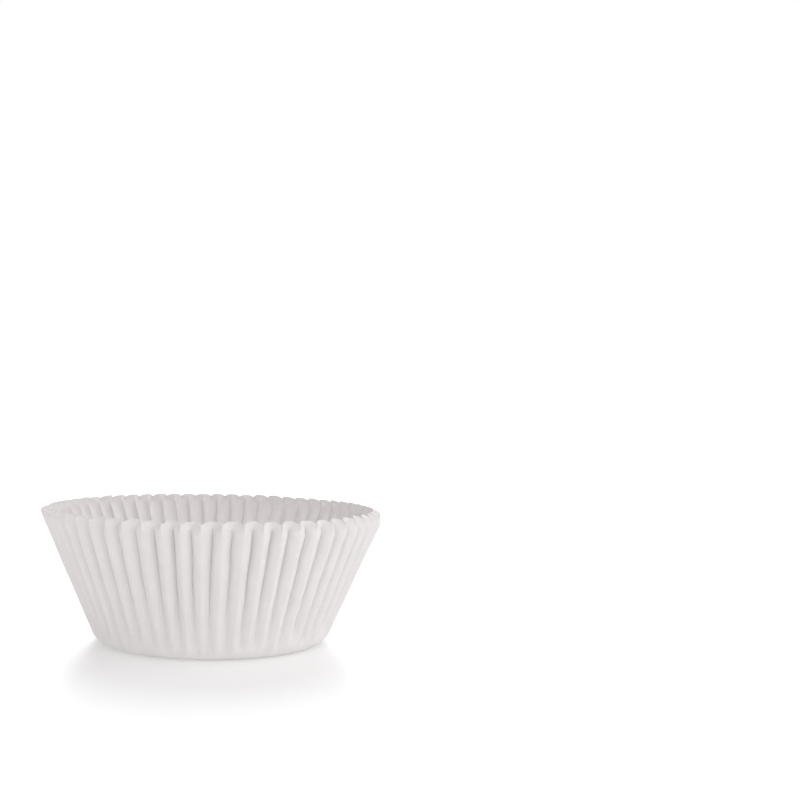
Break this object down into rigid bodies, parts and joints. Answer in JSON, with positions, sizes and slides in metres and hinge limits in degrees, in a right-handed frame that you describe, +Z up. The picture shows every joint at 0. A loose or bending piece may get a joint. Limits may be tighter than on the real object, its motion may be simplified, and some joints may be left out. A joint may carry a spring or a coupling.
{
  "type": "cupcake liner",
  "caption": "Pleated white paper baking cup with a flat round base, a fluted flared wall and a scalloped rim, open at the top.",
  "frame": {"origin": "centre of the underside of the flat base", "axes": "+Z up along the cup's axis and out of its mouth; +X and -Y each pass through a groove between two ribs"},
  "size_m": [0.0752, 0.0752, 0.03],
  "materials": {
    "paper": "matt"
  },
  "bodies": {
    "root": {"liner": "paper"}
  },
  "joints": []
}
